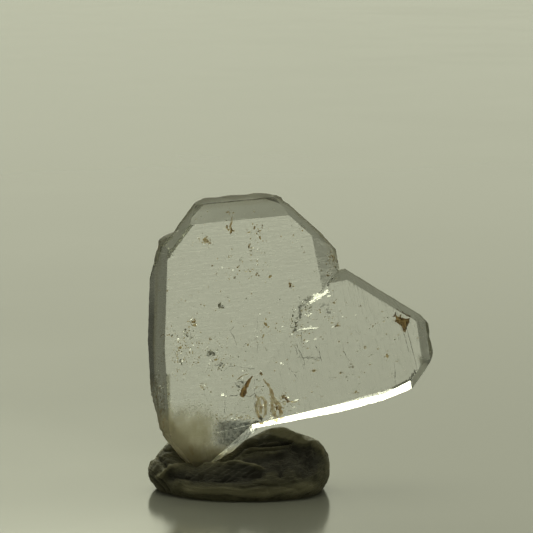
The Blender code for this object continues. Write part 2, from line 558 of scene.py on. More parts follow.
def quartz():
    material, board = newMaterial("clearQuartz")
    here = board.place()
    u, depth, v = board.parts(here)
    away = depth.absolute()  # from the plate's middle, so it is greatest on the two flat faces
    slopes = away.smooth(1.62, 1.5)  # the side and end faces
    drift = board.grit(here, 0.8, 4.0, 0.6) - 0.5
    fuzz = board.grit(board.join(u * 2.2, v * 0.7, depth), 1.0, 3.0, 0.6) - 0.5
    # the milky root, its low end, its left flank and its heel
    edge = drift * 2.4 + fuzz * 2.0
    high = (v + edge).smooth(8.4, 5.6) * (u + edge).smooth(-6.2, -8.0)
    low = (v + drift * 1.4).smooth(4.9, 3.6)
    flank = u.smooth(-10.2, -10.9) * (v + drift * 2.0 + fuzz).smooth(8.6, 6.8)
    heel = (u * 0.77 + v * 0.64).smooth(-3.6, -4.4) * v.smooth(7.6, 6.4)
    frost = high.most(low).most(flank).most(heel * 1.4)
    # the scuffed patch above the root, rough, with a dark grey of painted shade
    pit = v.smooth(6.55, 6.35) * v.smooth(3.9, 4.6) * u.smooth(-3.2, -3.8)
    pit = pit * (u + drift * 1.5).smooth(-7.3, -5.7)
    patch = board.node("VectorMath", {"operation": "MULTIPLY"}, {0: here, 1: (1.0, 1.0, 1.3)})
    patch = board.grit(patch, 3.1, 4.0, 0.7).smooth(0.42, 0.60).smooth(0.0, 1.0, 0.5, 1.0)
    # dull bands and edges of the upper end, and the dull lowest right end, which is also greyed with
    # painted shade
    scuff = board.grit(here, 2.2, 5.0, 0.65).smooth(0.60, 0.78)
    upper = (v - u * 0.28).smooth(10.2, 11.4)
    rim = depth.smooth(-0.5, -0.15) * depth.smooth(1.3, 0.9) * upper * v.smooth(20.0, 22.0)
    bands = slopes * upper * (drift * 0.5 + 0.09).most(0.02)
    blunt = slopes * u.smooth(10.95, 11.15) * (v + u * 0.5).smooth(18.6, 18.0) * 0.4
    rough = frost * crystal["frost"] + pit * 0.3 + scuff * 0.05 + rim * 0.5 + bands + blunt
    # what darkens or stains the clear faces; the first, a dark grey on the back along the left edge, is
    # painted shade
    film = depth.smooth(0.0, 0.12) * depth.smooth(1.62, 1.5) * v.smooth(8.0, 10.5)
    film = film * v.smooth(19.5, 15.5, 0.55, 1.0)
    film = film * (u + board.grit(here, 1.3, 2.0) * 0.12).smooth(-12.2, -12.3)
    shelf = away.smooth(1.6, 1.66) * u.smooth(-10.8, -10.95) * v.smooth(10.75, 10.6) * v.smooth(6.6, 7.6)
    grime = away.smooth(0.42, 0.1).most(away.smooth(0.95, 0.4) * v.smooth(19.0, 21.0))
    grime = (grime * (drift * 1.6 + 0.6) * upper).most(rim * 0.8)
    crust = board.grit(here, 2.6, 3.0, 0.6).smooth(0.50, 0.62) * v.smooth(11.2, 9.4)
    crust = crust * depth.smooth(-1.66, -1.5) * u.smooth(-11.0, -11.5)
    crust = crust + high.most(low) * (drift + fuzz).smooth(0.12, 0.3) * v.smooth(5.4, 4.0) * 0.5
    masks = {"heel": heel, "pit": pit * patch, "film": film, "blunt": blunt, "shelf": shelf}
    masks |= {"grime": grime, "crust": crust}
    deepMilk, paleMilk = ((*colour, 1) for colour in crystal["milk"])
    milk = board.mix((drift + fuzz).smooth(-0.2, 0.25), deepMilk, paleMilk)
    tint = board.mix(frost, (1, 1, 1, 1), milk)
    for name, (amount, colour) in crystal["tints"].items():
        tint = board.mix(masks[name] * amount, tint, (*colour, 1))
    # the growth lines show on the flat faces, and faintly on the others
    lowEnd = u.smooth(9.0, 10.0) * v.smooth(12.5, 11.5)
    carved = away.smooth(1.55, 1.65).most((1.0 - lowEnd) * 0.15)
    surface = {
        "Base Color": tint,
        "Roughness": rough.least(0.7),
        "IOR": crystal["ior"],
        "Transmission Weight": 1.0,
        "Normal": board.bump(growthLines(board, here), 0.0000085, carved),
    }
    colour, density = crystal["fog"]
    fog = board.node("VolumeAbsorption", None, {"Color": (*colour, 1), "Density": density})
    board.finish(surface, fog)
    return material


grains = {
    "seed": 11,
    "depths": (0.5, 2.6),
    "crumbSpread": (0.2, 0.1, 0.2),
    "crumbSize": (0.2, 0.55),
    # u, v and size of the larger rusty grains
    "rust": (
        (-5.6, 24.9, 0.26), (-5.7, 24.1, 0.2), (-5.3, 23.7, 0.32), (-7.7, 23.0, 0.24),
        (-11.8, 22.3, 0.3), (-3.7, 23.6, 0.22), (-3.2, 24.0, 0.16), (-2.5, 24.2, 0.16),
        (-2.8, 23.7, 0.26), (-2.7, 23.1, 0.2), (-3.7, 22.3, 0.2), (1.3, 21.8, 0.15),
        (0.0, 18.9, 0.26), (0.05, 18.7, 0.2), (4.0, 17.2, 0.22), (6.4, 16.9, 0.14),
        (4.3, 15.1, 0.24), (6.8, 13.1, 0.18), (8.8, 12.4, 0.2), (4.6, 10.8, 0.18),
        (5.7, 11.4, 0.22), (6.0, 9.1, 0.2), (2.2, 11.0, 0.2), (-2.6, 10.8, 0.24),
        (-12.2, 8.6, 0.24), (-11.2, 7.5, 0.26), (3.0, 22.6, 0.2), (4.0, 21.4, 0.2),
        (3.4, 19.7, 0.2), (-2.2, 15.3, 0.26), (-2.4, 14.2, 0.26), (-3.8, 13.4, 0.16),
        (-7.0, 20.6, 0.14), (-5.0, 19.5, 0.2), (-3.0, 19.8, 0.24), (-1.8, 19.6, 0.18),
        (-8.7, 15.5, 0.26), (-8.6, 15.2, 0.2), (-0.6, 8.6, 0.3), (-1.2, 7.7, 0.28),
        (7.5, 15.1, 0.16), (-6.7, 12.1, 0.2), (-7.2, 13.9, 0.18), (-9.9, 13.2, 0.2),
    ),
    "dark": (
        (4.0, 20.9, 0.22), (4.1, 20.4, 0.18), (3.8, 19.6, 0.18), (-9.5, 14.7, 0.2),
        (-9.3, 14.2, 0.18), (-8.8, 14.1, 0.16), (-3.5, 21.9, 0.1), (0.27, 16.0, 0.22),
        (-4.0, 13.5, 0.14), (-2.6, 6.7, 0.3), (-6.4, 16.9, 0.26), (-6.1, 16.8, 0.26),
    ),
    "pale": (
        (-10.7, 14.2, 0.18), (-9.9, 11.9, 0.26), (-10.8, 21.5, 0.24), (-3.3, 22.2, 0.1),
        (-0.9, 17.5, 0.1), (0.8, 12.3, 0.12), (-4.5, 21.1, 0.12), (-11.2, 10.6, 0.22),
        (-11.4, 9.6, 0.2),
    ),
}


def amber(name, deep, light, clear=0.85, scale=3.0, rough=0.3, ior=1.03):
    # a see-through stain, in patches from a deep to a light shade
    material, board = newMaterial(name)
    patch = board.grit(board.place(), scale, 4.0, 0.6).smooth(0.36, 0.64)
    surface = {
        "Base Color": board.mix(patch, (*deep, 1), (*light, 1)),
        "Roughness": patch.smooth(0.0, 1.0, rough + 0.15, rough),
        "Transmission Weight": clear,
        "IOR": ior,
    }
    board.finish(surface)
    return material


def veiled(name, deep, light, cover, scale):
    # a broken film that lets the light between its patches through
    material, board = newMaterial(name)
    patch = board.grit(board.place(), scale, 5.0, 0.65)
    colour = board.mix(patch.smooth(0.4, 0.6), (*deep, 1), (*light, 1))
    board.finish({"Base Color": colour, "Roughness": 0.5, "Alpha": patch.smooth(*cover)})
    return material


def silvery():
    # a broken mirror, clear between its patches
    material, board = newMaterial("silveryFlash")
    patch = board.grit(board.place(), 3.0, 4.0, 0.6)
    surface = {
        "Base Color": (0.8, 0.8, 0.76, 1),
        "Metallic": 0.97,
        "Roughness": patch.smooth(0.4, 0.6, 0.22, 0.42),
        "Alpha": patch.smooth(0.30, 0.46),
    }
    board.finish(surface)
    return material


def addGrain(bm, at, size, chance):
    # a small lumpy grain, longer one way than the others
    made = bmesh.ops.create_icosphere(bm, subdivisions=2, radius=0.5)["verts"]
    offset = Vector([chance.uniform(0, 50) for _ in range(3)])
    squash = Matrix.Diagonal((chance.uniform(0.9, 1.5), 0.45, chance.uniform(0.5, 1.0)))
    turn = Matrix.Rotation(chance.uniform(0, 3.1), 3, (0.15, 1.0, 0.2)) @ squash
    for vert in made:
        bumps = 1.0 + 0.9 * noise.noise(vert.co * 2.6 + offset) + 0.5 * noise.noise(vert.co * 6.0 + offset)
        vert.co = at + turn @ (vert.co * bumps) * size


def makeGrains():
    # rusty, dark and pale grains, each with a few crumbs beside it
    kinds = {
        "rust": amber("rustGrain", (0.24, 0.14, 0.035), (0.86, 0.70, 0.38)),
        "dark": amber("darkGrain", (0.13, 0.12, 0.08), (0.55, 0.52, 0.38), 0.8),
        "pale": amber("paleGrain", (0.7, 0.68, 0.6), (1.0, 1.0, 0.97), 0.5, 5.0, 0.1),
    }
    for kind, material in kinds.items():
        bm = bmesh.new()
        chance = random.Random(grains["seed"] + len(kind))
        for u, v, size in grains[kind]:
            at = sealed(inPlate(u, v, chance.uniform(*grains["depths"])), 0.7 * size + 0.08)
            addGrain(bm, at, size * 1.15, chance)
            for _ in range(chance.choice((1, 2, 3, 4))):
                shift = Vector([chance.gauss(0, spread) for spread in grains["crumbSpread"]])
                addGrain(bm, sealed(at + shift, 0.12), size * chance.uniform(*grains["crumbSize"]), chance)
        newObject(kind + "Grains", bm, material, toWorld)
    print("grains made")


stains = {
    "seed": 4,
    "rings": 9,
    "fine": 6,
    "jag": 0.03,
    "thick": 0.05,
    # how deep each one lies, then the points of its spine as u, v and width
    "rust": (
        (1.1, (
            (-3.4, 10.6, 0.16), (-3.7, 10.1, 0.28), (-4.0, 9.6, 0.38), (-4.2, 9.1, 0.5), (-4.4, 8.7, 0.44),
        )),
        (1.2, ((-0.5, 8.6, 0.14), (-0.3, 8.5, 0.26), (-0.1, 8.2, 0.14))),
        (0.8, ((9.3, 16.0, 0.04), (9.5, 16.1, 0.1), (9.6, 16.4, 0.05))),
        (0.8, ((9.8, 15.9, 0.05), (10.2, 15.7, 0.1), (10.5, 15.75, 0.1), (10.75, 15.8, 0.05))),
        (0.8, ((9.3, 15.7, 0.03), (9.7, 15.45, 0.07), (10.0, 15.4, 0.08), (10.3, 15.5, 0.05))),
        (0.8, ((10.7, 15.7, 0.05), (10.6, 15.2, 0.1), (10.4, 14.6, 0.08))),
        (0.8, ((10.0, 16.2, 0.04), (10.1, 15.7, 0.08), (10.3, 15.3, 0.06), (10.3, 14.8, 0.05))),
    ),
    "tan": (
        (0.9, (
            (-2.4, 10.3, 0.1), (-2.0, 9.8, 0.24), (-1.7, 9.2, 0.34), (-1.5, 8.6, 0.28), (-1.1, 8.0, 0.36),
        )),
        (1.4, ((-1.7, 8.7, 0.16), (-1.6, 8.0, 0.3), (-1.5, 7.3, 0.42), (-1.3, 6.9, 0.3), (-1.0, 6.8, 0.1))),
        (1.0, ((-1.1, 8.3, 0.14), (-0.9, 7.8, 0.3), (-0.8, 7.2, 0.34), (-0.9, 6.9, 0.16))),
        (1.8, ((-3.1, 8.9, 0.1), (-2.8, 8.3, 0.22), (-2.6, 7.7, 0.3), (-2.6, 7.1, 0.16))),
        (1.3, ((-0.2, 8.4, 0.06), (0.3, 8.2, 0.12), (0.9, 8.3, 0.06))),
        (0.8, ((-4.8, 10.3, 0.06), (-4.3, 10.6, 0.1), (-3.7, 10.8, 0.08))),
        (0.6, ((-5.2, 25.0, 0.06), (-5.3, 24.5, 0.16), (-5.4, 24.1, 0.22), (-5.2, 23.7, 0.14))),
        (1.5, ((3.6, 21.5, 0.08), (4.0, 21.3, 0.16), (3.9, 20.9, 0.1))),
        (0.5, ((-7.9, 23.0, 0.06), (-7.5, 22.9, 0.2), (-7.1, 22.6, 0.08))),
    ),
    "ring": {"centre": (-2.6, 7.7), "half": (0.42, 0.98), "width": 0.26, "depth": 1.5},
    "flake": (
        (9.3, 16.0), (9.55, 16.4), (9.6, 16.05), (9.9, 15.95), (10.0, 16.25), (10.1, 15.9), (10.5, 15.75),
        (10.75, 15.8), (10.6, 15.2), (10.6, 14.9), (10.4, 14.5), (10.2, 14.75), (10.15, 15.0), (9.85, 15.3),
        (9.4, 15.6), (9.95, 15.45), (9.8, 15.8), (9.6, 15.95),
    ),
}


def addSpine(bm, spine, depth, chance, closed=False):
    # a lumpy flattened rod along a spine of (u, v, width)
    count, rings, fine = len(spine), stains["rings"], stains["fine"]
    rows = []
    offset = Vector((chance.uniform(0, 40), 0.0, chance.uniform(0, 40)))
    for step in range(count * fine if closed else (count - 1) * fine + 1):
        place = step / fine
        first = int(place) % count
        second = (first + 1) % count if closed else min(first + 1, count - 1)
        part = place - int(place)
        ease = part * part * (3 - 2 * part)
        (u0, v0, w0), (u1, v1, w1) = spine[first], spine[second]
        way = Vector((u1 - u0, 0.0, v1 - v0))
        if way.length < 1e-6:
            way = Vector((u0 - spine[first - 1][0], 0.0, v0 - spine[first - 1][1]))
        side = sideways(way).normalized()
        centre = inPlate(u0 + (u1 - u0) * part, v0 + (v1 - v0) * part, depth)
        centre += side * 0.06 * noise.noise(centre * 2.1 + offset)
        width = (w0 + (w1 - w0) * ease) * (1.0 + 0.6 * noise.noise(centre * 3.4 + offset))
        row = []
        for turn in range(rings):
            angle = 2 * math.pi * turn / rings
            reach = 0.5 * width * (1.0 + 0.35 * noise.noise(Vector((angle, place * 1.7, offset.x))))
            deep = Vector((0.0, 0.45 * reach * math.sin(angle), 0.0))
            row.append(bm.verts.new(centre + side * reach * math.cos(angle) + deep))
        rows.append(row)
    for one, two in zip(rows, rows[1:] + rows[:1] if closed else rows[1:]):
        for turn in range(rings):
            after = (turn + 1) % rings
            bm.faces.new((one[turn], one[after], two[after], two[turn]))
    if not closed:
        bm.faces.new(rows[0])
        bm.faces.new(rows[-1])


def addPlate(bm, outline, lift, thick):
    # a thin closed plate with that outline
    front = [bm.verts.new(point - lift * thick / 2) for point in outline]
    rear = [bm.verts.new(point + lift * thick / 2) for point in outline]
    bm.faces.new(front)
    bm.faces.new(list(reversed(rear)))
    for index in range(len(front)):
        after = (index + 1) % len(front)
        bm.faces.new((front[index], front[after], rear[after], rear[index]))


def addRagged(bm, centre, across, up, lift, edge, chance):
    # a thin ragged plate, spread from its centre by two half-widths
    count, curl, wild = edge
    offset = chance.uniform(0, 60)
    outline = []
    for step in range(count):
        turn = 2 * math.pi * step / count
        c, s = math.cos(turn), math.sin(turn)
        reach = 1.0 + wild * noise.noise(Vector((c * curl, s * curl, offset)))
        outline.append(sealed(centre + across * reach * c + up * reach * s, 0.05))
    addPlate(bm, outline, lift, flashes["thick"])


def newPlates(name, bm, material):
    bmesh.ops.triangulate(bm, faces=bm.faces)
    bmesh.ops.recalc_face_normals(bm, faces=bm.faces)
    newObject(name, bm, material, toWorld)


def ringSpine(ring, steps=12):
    # a closed spine round the bubble, wider on two sides
    loop = []
    for step in range(steps):
        turn = 2 * math.pi * step / steps
        u = ring["centre"][0] + ring["half"][0] * math.cos(turn)
        v = ring["centre"][1] + ring["half"][1] * math.sin(turn)
        loop.append((u, v, ring["width"] * (1.0 + 0.5 * math.sin(turn * 2 + 1.0))))
    return loop


def makeFlake():
    # the ragged rust flake near the right tip
    bm = bmesh.new()
    chance = random.Random(stains["seed"] + 1)
    ends = stains["flake"]
    points = []
    for (u0, v0), (u1, v1) in zip(ends, ends[1:] + ends[:1]):
        for part in (0.0, 0.25, 0.5, 0.75):
            jag = stains["jag"] if part else 0.0
            u = u0 + (u1 - u0) * part + chance.gauss(0, jag)
            v = v0 + (v1 - v0) * part + chance.gauss(0, jag)
            points.append(inPlate(u, v, 1.0) + Vector((0.0, (u0 - 10.0) * 0.125, 0.0)))
    addPlate(bm, points, Vector((0.0, 1.0, 0.0)), stains["thick"])
    newPlates("rustFlake", bm, amber("flakeRust", (0.08, 0.04, 0.008), (0.66, 0.46, 0.18), 0.88, 6.5))


def makeStains():
    # rust-brown needles, tan streaks and a ring
    kinds = {
        "rust": amber("rustStain", (0.12, 0.055, 0.012), (0.52, 0.33, 0.12), 0.9, 2.0),
        "tan": amber("tanStain", (0.46, 0.32, 0.15), (0.95, 0.88, 0.70), 0.92, 2.0),
    }
    for kind, material in kinds.items():
        bm = bmesh.new()
        chance = random.Random(stains["seed"])
        for depth, spine in stains[kind]:
            addSpine(bm, spine, depth, chance)
        if kind == "tan":
            addSpine(bm, ringSpine(stains["ring"]), stains["ring"]["depth"], chance, closed=True)
        bmesh.ops.recalc_face_normals(bm, faces=bm.faces)
        newObject(kind + "Stains", bm, material, toWorld)
    makeFlake()
    print("stains made")


cracks = {
    "seed": 8,
    "wide": 0.04,
    "deep": 0.35,
    "step": 0.12,
    "wander": 0.1,
    "straightFrom": 9.0,
    # points of each as u and v, then the depths that it runs between
    "lines": (
        (((-5.4, 14.8), (-5.1, 14.2), (-4.8, 13.4)), 0.2, 0.7),
        (((-5.4, 14.8), (-5.0, 15.1)), 0.2, 0.5),
        (((-6.8, 11.6), (-6.1, 11.1), (-5.4, 11.5), (-4.5, 11.5), (-3.6, 11.2), (-3.0, 11.4)), 0.5, 0.9),
        (((-5.9, 7.0), (-5.9, 7.8), (-5.9, 8.7)), 0.9, 1.5),
        (((-5.9, 8.7), (-5.2, 8.8), (-4.5, 8.9), (-3.6, 8.8), (-3.2, 9.0), (-2.5, 9.2)), 0.8, 1.3),
        (((-0.3, 11.6), (0.1, 11.1), (0.5, 10.6), (0.7, 10.4)), 0.4, 0.8),
        (((-3.1, 10.9), (-3.2, 9.8), (-3.2, 9.1), (-3.1, 8.5), (-3.2, 7.2)), 0.6, 1.1),
        (((4.8, 13.5), (4.9, 12.8), (5.2, 12.1)), 0.4, 0.7),
        (((0.5, 13.9), (0.8, 13.0), (1.3, 11.9), (1.3, 11.2)), 0.6, 1.2),
        (((0.9, 12.3), (1.9, 12.3), (2.4, 12.1), (2.9, 12.0)), 0.5, 0.9),
        (((0.7, 15.9), (1.0, 14.6), (1.1, 13.6), (1.2, 12.4)), 1.0, 1.6),
        (((9.4, 11.9), (9.5, 10.8), (9.5, 9.6)), 0.3, 0.6),
        (((2.3, 13.4), (2.7, 12.8), (2.9, 11.9)), 0.8, 1.2),
        (((0.2, 13.5), (0.5, 13.1), (0.7, 12.6)), 0.3, 0.6),
        (((10.5, 15.1), (10.9, 13.6), (11.2, 12.4), (11.5, 11.3)), 0.15, 0.5),
        (((10.1, 15.2), (10.45, 13.9), (10.75, 12.8)), 0.15, 0.3),
        (((-2.9, 16.0), (-3.0, 14.2), (-2.9, 12.6)), 0.2, 0.5),
        (((1.2, 24.7), (1.4, 24.4), (1.7, 24.1)), 0.3, 0.6),
        (((-6.6, 5.0), (-6.1, 5.9), (-5.5, 6.4)), 1.8, 2.4),
        (((-11.5, 9.9), (-11.3, 8.4), (-11.4, 7.2)), 0.6, 1.0),
    ),
}


def crackPath(points):
    # the crack's points, with more between them
    path = []
    for (u0, v0), (u1, v1) in zip(points, points[1:]):
        steps = max(2, int(math.hypot(u1 - u0, v1 - v0) / cracks["step"]))
        path += [(u0 + (u1 - u0) * step / steps, v0 + (v1 - v0) * step / steps) for step in range(steps)]
    return [*path, points[-1]]


def crackRings(points, start, end, shake):
    # four corners at each point of the crack's wall
    path = crackPath(points)
    last = len(path) - 1
    rings = []
    for index, (u, v) in enumerate(path):
        taper = 0.25 + 0.75 * math.sin(math.pi * limit(index / last, 0.03, 0.97))
        across, up = noise.noise(Vector((u * 2, v * 2, shake))), noise.noise(Vector((v * 2, shake, u * 2)))
        off = Vector((across, 0.0, up)) * cracks["wander"] / (1 if u < cracks["straightFrom"] else 5)
        (u0, v0), (u1, v1) = path[max(index - 1, 0)], path[min(index + 1, last)]
        side = sideways(Vector((u1 - u0, 0.0, v1 - v0))).normalized() * cracks["wide"] * taper / 2
        front = sealed(inPlate(u, v, start) + off, 0.06)
        rear = sealed(inPlate(u, v, start + (end - start) * cracks["deep"]) + off, 0.06)
        rings.append((front - side, front + side, rear + side, rear - side))
    return rings


def makeCracks():
    # thin broken walls that show as faint dark lines
    bm = bmesh.new()
    chance = random.Random(cracks["seed"])
    for points, start, end in cracks["lines"]:
        rings = crackRings(points, start, end, chance.uniform(0, 50))
        for one, two in zip(rings, rings[1:]):
            one = [bm.verts.new(point) for point in one]
            two = [bm.verts.new(point) for point in two]
            for turn in range(4):
                after = (turn + 1) % 4
                bm.faces.new((one[turn], one[after], two[after], two[turn]))
            bm.faces.new(one)
            bm.faces.new(two)
    bmesh.ops.recalc_face_normals(bm, faces=bm.faces)
    film = veiled("crackFilm", (0.08, 0.07, 0.04), (0.32, 0.30, 0.21), (0.36, 0.66), 2.2)
    newObject("cracks", bm, film, toWorld)
    print("cracks made")


flashes = {
    "seed": 21,
    # grey wisps as u, v, width and height
    "wisps": (
        (1.7, 17.5, 1.0, 0.5), (1.1, 17.0, 0.6, 0.7), (0.9, 16.2, 0.35, 0.9), (0.6, 15.4, 0.35, 0.8),
        (0.4, 14.8, 0.5, 0.6), (3.0, 17.0, 0.9, 0.35), (3.5, 16.4, 0.3, 1.3), (-6.3, 11.6, 0.9, 0.4),
        (-7.1, 12.6, 0.8, 0.6), (-4.4, 9.8, 1.3, 0.9), (1.9, 12.2, 1.6, 0.25), (-6.2, 16.9, 0.5, 0.25),
    ),
    "wispTilt": 0.7,
    "wispDepths": (0.9, 2.3),
    # the way out to the bright part of the room, as azimuth and elevation, and how far it varies
    "toward": (-16.0, 24.0),
    "level": -4.0,
    "spread": 2.5,
    # how many small flakes each cluster has, and the widths and lengths that they may have
    "glints": 3,
    "glintWidths": (0.05, 0.15),
    "glintLengths": (0.15, 0.4),
    "thick": 0.02,
    # how many points go round a ragged edge, how fast it changes and how wild it is
    "evenEdge": (18, 1.3, 0.2),
    "raggedEdge": (18, 1.3, 0.7),
    "wispEdge": (24, 1.6, 0.8),
    # u, v, width and how far back each level flake runs
    "flakes": (
        (1.7, 14.85, 1.9, 0.9), (1.5, 14.85, 1.2, 0.8),
        (2.0, 17.3, 0.6, 1.2), (2.3, 17.5, 0.8, 1.5), (2.6, 17.7, 0.9, 1.7), (2.8, 17.75, 0.6, 1.0),
        (3.0, 17.9, 0.9, 1.4), (3.2, 18.05, 0.7, 1.2), (3.3, 18.25, 0.4, 0.9), (2.8, 18.3, 0.3, 0.8),
        (3.5, 17.8, 0.3, 0.7), (2.2, 17.9, 0.25, 0.8), (1.7, 17.1, 0.35, 0.6), (2.5, 18.0, 0.3, 0.7),
        (1.7, 16.0, 0.25, 0.6), (1.9, 16.2, 0.2, 0.5), (1.6, 13.7, 0.35, 0.5), (1.4, 16.1, 0.15, 0.4),
        (-0.8, 11.7, 0.25, 0.8), (-0.6, 11.6, 0.15, 0.6), (-9.9, 11.8, 0.2, 0.9), (-9.8, 11.9, 0.14, 0.6),
        (-10.7, 21.5, 0.12, 0.4), (-11.2, 9.5, 0.2, 0.5),
        (-6.1, 8.8, 0.35, 0.6), (-5.8, 8.7, 0.2, 0.4), (-0.2, 8.6, 0.3, 0.7), (0.5, 8.3, 0.7, 0.4),
        (-11.4, 9.6, 0.2, 0.6), (-11.2, 9.4, 0.12, 0.5), (3.9, 15.0, 0.14, 0.4), (-3.3, 22.2, 0.12, 0.4),
        (-9.0, 13.0, 0.12, 0.5), (-10.1, 13.9, 0.16, 0.5), (-7.3, 11.6, 0.12, 0.4), (2.3, 13.9, 0.2, 0.5),
        (-2.4, 7.9, 0.25, 0.5), (-2.9, 7.2, 0.16, 0.5), (-1.6, 6.7, 0.3, 0.6), (-4.9, 6.6, 0.4, 0.3),
    ),
}


def mirrorNormal(azimuth, elevation):
    # the normal of a flake that sends that part of the room to the camera, in the plate
    def inward(turn, rise):
        way = Vector((math.sin(turn) * math.cos(rise), math.cos(turn) * math.cos(rise), math.sin(rise)))
        level = (way - back * way.dot(back)) / crystal["ior"]
        return level + back * math.sqrt(1.0 - level.length_squared)

    lean = math.radians(plate["lean"])
    back = Vector((0.0, math.cos(lean), -math.sin(lean)))
    seen = inward(0.0, -math.radians(shot["elevation"]))
    lit = inward(math.radians(azimuth), math.radians(elevation))
    return (toPlate.to_3x3() @ (lit - seen)).normalized()


def makeGlints(chance):
    # small fractures lying so that they flash in the light from behind
    bm = bmesh.new()
    azimuth, elevation = flashes["toward"]
    flakes = list(flashes["flakes"])
    for u, v, reachU, reachV, _ in strewn["speckClusters"] + strewn["crumbClusters"]:
        for _ in range(flashes["glints"]):
            place = (chance.gauss(u, reachU * 0.8), chance.gauss(v, reachV * 0.8))
            size = (chance.uniform(*flashes["glintWidths"]), chance.uniform(*flashes["glintLengths"]))
            flakes.append((*place, *size))
    for u, v, width, length in flakes:
        wide = width > 1.0
        spread = flashes["spread"]
        turn = flashes["level"] if wide else azimuth + chance.gauss(0, spread)
        lift = mirrorNormal(turn, elevation + chance.gauss(0, spread / 5 if wide else spread))
        first = (Vector((1.0, 0.0, 0.0)) - lift * lift.x).normalized()
        centre = sealed(inPlate(u, v, plate["ridge"] + chance.uniform(-0.3, 0.3)), 0.2)
        across, up = first * 0.5 * width, lift.cross(first) * 0.5 * length
        addRagged(bm, centre, across, up, lift, flashes["evenEdge" if wide else "raggedEdge"], chance)
    newPlates("flashes", bm, silvery())


def makeWisps(chance):
    # grey veils, tilted every way
    bm = bmesh.new()
    for u, v, width, height in flashes["wisps"]:
        most = flashes["wispTilt"]
        tilt = Matrix.Rotation(chance.uniform(-most, most), 3, "Z")
        tilt = tilt @ Matrix.Rotation(chance.uniform(-most, most), 3, "X")
        centre = sealed(inPlate(u, v, chance.uniform(*flashes["wispDepths"])), 0.3)
        across, lift, up = (tilt.col[axis] for axis in range(3))
        across, up = across * 0.5 * width, up * 0.5 * height
        addRagged(bm, centre, across, up, lift, flashes["wispEdge"], chance)
    newPlates("wisps", bm, veiled("greyWisp", (0.16, 0.16, 0.13), (0.62, 0.62, 0.55), (0.42, 0.72), 3.6))


def makeFlashes():
    chance = random.Random(flashes["seed"])
    makeGlints(chance)
    makeWisps(chance)
    print("flashes made")


strewn = {
    "specks": {"Per square mm": 1.1, "Smallest": 0.05, "Largest": 0.18, "Clumping": 0.9, "Seed": 3},
    "crumbs": {"Per square mm": 0.8, "Smallest": 0.05, "Largest": 0.16, "Clumping": 1.3, "Seed": 8},
    "flecks": {"Per square mm": 150.0, "Smallest": 0.03, "Largest": 0.07, "Clumping": 0.7, "Seed": 5},
    # the depths of the sheets that hold the specks, then each field's span in u and v, and its step
    "levels": (0.7, 1.3, 2.0, 2.7),
    "field": ((-12.2, 11.8), (3.6, 25.6), 0.2),
    "milkField": ((-12.0, -2.8), (2.0, 9.0), 0.2),
    # the first depth of the sheets in the milky root, the step between them and how many there are
    "milkLevels": (0.5, 0.22, 12),
    # centre, reach and strength of the clusters
    "speckClusters": (
        (-9.4, 13.6, 1.5, 1.5, 5.0), (-9.9, 12.3, 1.1, 1.2, 8.0), (-4.4, 20.2, 1.8, 0.8, 3.0),
        (-3.0, 22.9, 0.6, 1.6, 5.0), (-6.2, 11.8, 1.3, 1.0, 5.0), (1.2, 15.0, 2.0, 1.2, 5.0),
        (4.6, 15.6, 1.0, 0.8, 2.5),
        (-7.6, 22.8, 0.35, 0.2, 60.0), (-8.8, 15.6, 0.25, 0.3, 50.0), (-7.9, 9.6, 0.25, 0.25, 60.0),
        (-0.3, 8.3, 0.9, 0.5, 10.0), (-1.5, 7.6, 0.7, 0.9, 14.0), (3.7, 21.0, 0.35, 0.9, 40.0),
        (-5.0, 6.7, 1.2, 0.25, 24.0), (-11.5, 9.0, 0.4, 1.6, 14.0), (-2.4, 14.8, 0.7, 1.2, 3.0),
    ),
    "crumbClusters": (
        (-7.1, 12.6, 0.38, 0.26, 90.0), (-6.2, 11.4, 0.4, 0.2, 40.0), (1.5, 16.8, 0.5, 0.8, 30.0),
        (0.5, 15.3, 0.3, 0.7, 26.0), (-9.4, 14.3, 0.7, 0.5, 6.0), (-5.4, 5.6, 1.2, 0.6, 18.0),
        (-2.6, 8.6, 1.0, 1.6, 4.0), (-4.2, 9.9, 0.9, 0.8, 4.0), (-11.6, 8.0, 0.5, 2.0, 8.0),
    ),
}


def sheets(levels, spanU, spanV, step, weigh):
    # level sheets inside the crystal, with the weight of what they hold at each point
    across = int(round((spanU[1] - spanU[0]) / step)) + 1
    up = int(round((spanV[1] - spanV[0]) / step)) + 1
    points, faces, weights = [], [], []
    for level in levels:
        start = len(points)
        for row in range(up):
            for column in range(across):
                at = inPlate(spanU[0] + column * step, spanV[0] + row * step, level)
                points.append(at)
                inner = limit((inset(at) - 0.1) / 0.2)
                weights.append(inner * weigh(at) if inner else 0.0)
        for row in range(up - 1):
            for column in range(across - 1):
                first = start + row * across + column
                corners = (first, first + 1, first + across + 1, first + across)
                if all(weights[corner] > 0 for corner in corners):
                    faces.append(corners)
    mesh = bpy.data.meshes.new("sheets")
    mesh.from_pydata(points, [], faces)
    mesh.attributes.new("weight", "FLOAT", "POINT").data.foreach_set("value", weights)
    return mesh


